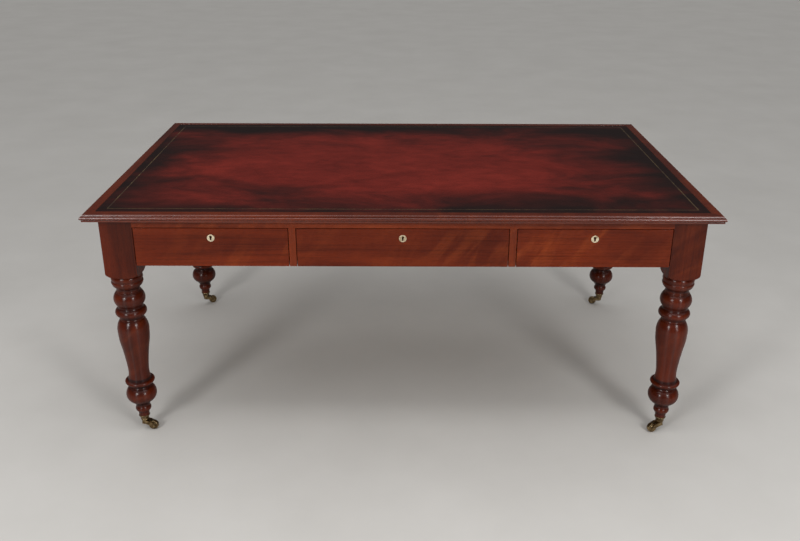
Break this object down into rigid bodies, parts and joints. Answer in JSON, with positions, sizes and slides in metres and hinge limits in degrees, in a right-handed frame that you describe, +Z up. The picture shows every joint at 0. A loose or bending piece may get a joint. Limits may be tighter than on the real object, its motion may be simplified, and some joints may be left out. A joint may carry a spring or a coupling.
{
  "type": "partners desk",
  "caption": "Partners' writing desk: leather-lined top with moulded edge, frieze drawers on both long sides, turned baluster legs on brass castors.",
  "frame": {"origin": "on the floor under the middle of the top", "axes": "+Z up, +X along the length of the top to the right as seen by a sitter at the front, +Y from the front drawers to the back drawers"},
  "size_m": [1.88, 1.15, 0.775],
  "materials": {
    "mahogany": "french polished mahogany, red brown and glossy",
    "carcase_wood": "unpolished softwood carcase timber",
    "drawer_oak": "waxed quartered oak drawer linings",
    "red_leather": "hand-dyed deep red hide with a gilt line, polished",
    "brass": "aged lacquered brass",
    "steel": "plain steel wood screws"
  },
  "bodies": {
    "frame": {"back_bottom_rail": "carcase_wood", "back_muntins": "mahogany", "back_top_rail": "mahogany", "castor_cups": "brass", "castor_screws": "brass", "centre_rail": "carcase_wood", "drawer_guides": "carcase_wood", "drawer_kickers": "carcase_wood", "drawer_runners": "carcase_wood", "drawer_stops": "carcase_wood", "end_rail_left": "mahogany", "end_rail_right": "mahogany", "front_bottom_rail": "carcase_wood", "front_muntins": "mahogany", "front_top_rail": "mahogany", "leather_panel": "red_leather", "leg_back_left": "mahogany", "leg_back_right": "mahogany", "leg_front_left": "mahogany", "leg_front_right": "mahogany", "top_border_back": "mahogany", "top_border_front": "mahogany", "top_border_left": "mahogany", "top_border_right": "mahogany", "top_core": "carcase_wood", "top_fixing_screws": "steel"},
    "drawer_front_left": {"drawer_front_left_front": "mahogany", "drawer_front_left_box": "drawer_oak", "drawer_front_left_lock": "brass"},
    "drawer_front_left_lock_bolt": {"drawer_front_left_bolt": "brass"},
    "drawer_front_centre": {"drawer_front_centre_front": "mahogany", "drawer_front_centre_box": "drawer_oak", "drawer_front_centre_lock": "brass"},
    "drawer_front_centre_lock_bolt": {"drawer_front_centre_bolt": "brass"},
    "drawer_front_right": {"drawer_front_right_front": "mahogany", "drawer_front_right_box": "drawer_oak", "drawer_front_right_lock": "brass"},
    "drawer_front_right_lock_bolt": {"drawer_front_right_bolt": "brass"},
    "drawer_back_left": {"drawer_back_left_front": "mahogany", "drawer_back_left_box": "drawer_oak", "drawer_back_left_lock": "brass"},
    "drawer_back_left_lock_bolt": {"drawer_back_left_bolt": "brass"},
    "drawer_back_centre": {"drawer_back_centre_front": "mahogany", "drawer_back_centre_box": "drawer_oak", "drawer_back_centre_lock": "brass"},
    "drawer_back_centre_lock_bolt": {"drawer_back_centre_bolt": "brass"},
    "drawer_back_right": {"drawer_back_right_front": "mahogany", "drawer_back_right_box": "drawer_oak", "drawer_back_right_lock": "brass"},
    "drawer_back_right_lock_bolt": {"drawer_back_right_bolt": "brass"},
    "castor_swivel_front_left": {"castor_horn_front_left": "brass"},
    "castor_roller_front_left": {"castor_wheel_front_left": "brass"},
    "castor_swivel_front_right": {"castor_horn_front_right": "brass"},
    "castor_roller_front_right": {"castor_wheel_front_right": "brass"},
    "castor_swivel_back_left": {"castor_horn_back_left": "brass"},
    "castor_roller_back_left": {"castor_wheel_back_left": "brass"},
    "castor_swivel_back_right": {"castor_horn_back_right": "brass"},
    "castor_roller_back_right": {"castor_wheel_back_right": "brass"}
  },
  "joints": [
    {"name": "drawer_front_left_slide", "type": "slide", "parent": "frame", "child": "drawer_front_left", "axis": [0, -1, 0], "range_m": [0, 0.38]},
    {"name": "drawer_front_left_bolt_throw", "type": "slide", "parent": "drawer_front_left", "child": "drawer_front_left_lock_bolt", "axis": [0, 0, 1], "range_m": [0, 0.008]},
    {"name": "drawer_front_centre_slide", "type": "slide", "parent": "frame", "child": "drawer_front_centre", "axis": [0, -1, 0], "range_m": [0, 0.38]},
    {"name": "drawer_front_centre_bolt_throw", "type": "slide", "parent": "drawer_front_centre", "child": "drawer_front_centre_lock_bolt", "axis": [0, 0, 1], "range_m": [0, 0.008]},
    {"name": "drawer_front_right_slide", "type": "slide", "parent": "frame", "child": "drawer_front_right", "axis": [0, -1, 0], "range_m": [0, 0.38]},
    {"name": "drawer_front_right_bolt_throw", "type": "slide", "parent": "drawer_front_right", "child": "drawer_front_right_lock_bolt", "axis": [0, 0, 1], "range_m": [0, 0.008]},
    {"name": "drawer_back_left_slide", "type": "slide", "parent": "frame", "child": "drawer_back_left", "axis": [0, 1, 0], "range_m": [0, 0.38]},
    {"name": "drawer_back_left_bolt_throw", "type": "slide", "parent": "drawer_back_left", "child": "drawer_back_left_lock_bolt", "axis": [0, 0, 1], "range_m": [0, 0.008]},
    {"name": "drawer_back_centre_slide", "type": "slide", "parent": "frame", "child": "drawer_back_centre", "axis": [0, 1, 0], "range_m": [0, 0.38]},
    {"name": "drawer_back_centre_bolt_throw", "type": "slide", "parent": "drawer_back_centre", "child": "drawer_back_centre_lock_bolt", "axis": [0, 0, 1], "range_m": [0, 0.008]},
    {"name": "drawer_back_right_slide", "type": "slide", "parent": "frame", "child": "drawer_back_right", "axis": [0, 1, 0], "range_m": [0, 0.38]},
    {"name": "drawer_back_right_bolt_throw", "type": "slide", "parent": "drawer_back_right", "child": "drawer_back_right_lock_bolt", "axis": [0, 0, 1], "range_m": [0, 0.008]},
    {"name": "castor_front_left_swivel", "type": "hinge", "parent": "frame", "child": "castor_swivel_front_left", "pos_m": [-0.8495, -0.4895, 0.034], "axis": [0, 0, 1], "continuous": true},
    {"name": "castor_front_left_roll", "type": "hinge", "parent": "castor_swivel_front_left", "child": "castor_roller_front_left", "pos_m": [-0.82161, -0.49194, 0.016], "axis": [0.0872, 0.9962, 0], "continuous": true},
    {"name": "castor_front_right_swivel", "type": "hinge", "parent": "frame", "child": "castor_swivel_front_right", "pos_m": [0.8495, -0.4895, 0.034], "axis": [0, 0, 1], "continuous": true},
    {"name": "castor_front_right_roll", "type": "hinge", "parent": "castor_swivel_front_right", "child": "castor_roller_front_right", "pos_m": [0.82319, -0.49908, 0.016], "axis": [0.342, -0.9397, 0], "continuous": true},
    {"name": "castor_back_left_swivel", "type": "hinge", "parent": "frame", "child": "castor_swivel_back_left", "pos_m": [-0.8495, 0.4895, 0.034], "axis": [0, 0, 1], "continuous": true},
    {"name": "castor_back_left_roll", "type": "hinge", "parent": "castor_swivel_back_left", "child": "castor_roller_back_left", "pos_m": [-0.82412, 0.50133, 0.016], "axis": [-0.4226, 0.9063, 0], "continuous": true},
    {"name": "castor_back_right_swivel", "type": "hinge", "parent": "frame", "child": "castor_swivel_back_right", "pos_m": [0.8495, 0.4895, 0.034], "axis": [0, 0, 1], "continuous": true},
    {"name": "castor_back_right_roll", "type": "hinge", "parent": "castor_swivel_back_right", "child": "castor_roller_back_right", "pos_m": [0.82412, 0.50133, 0.016], "axis": [-0.4226, -0.9063, 0], "continuous": true}
  ]
}
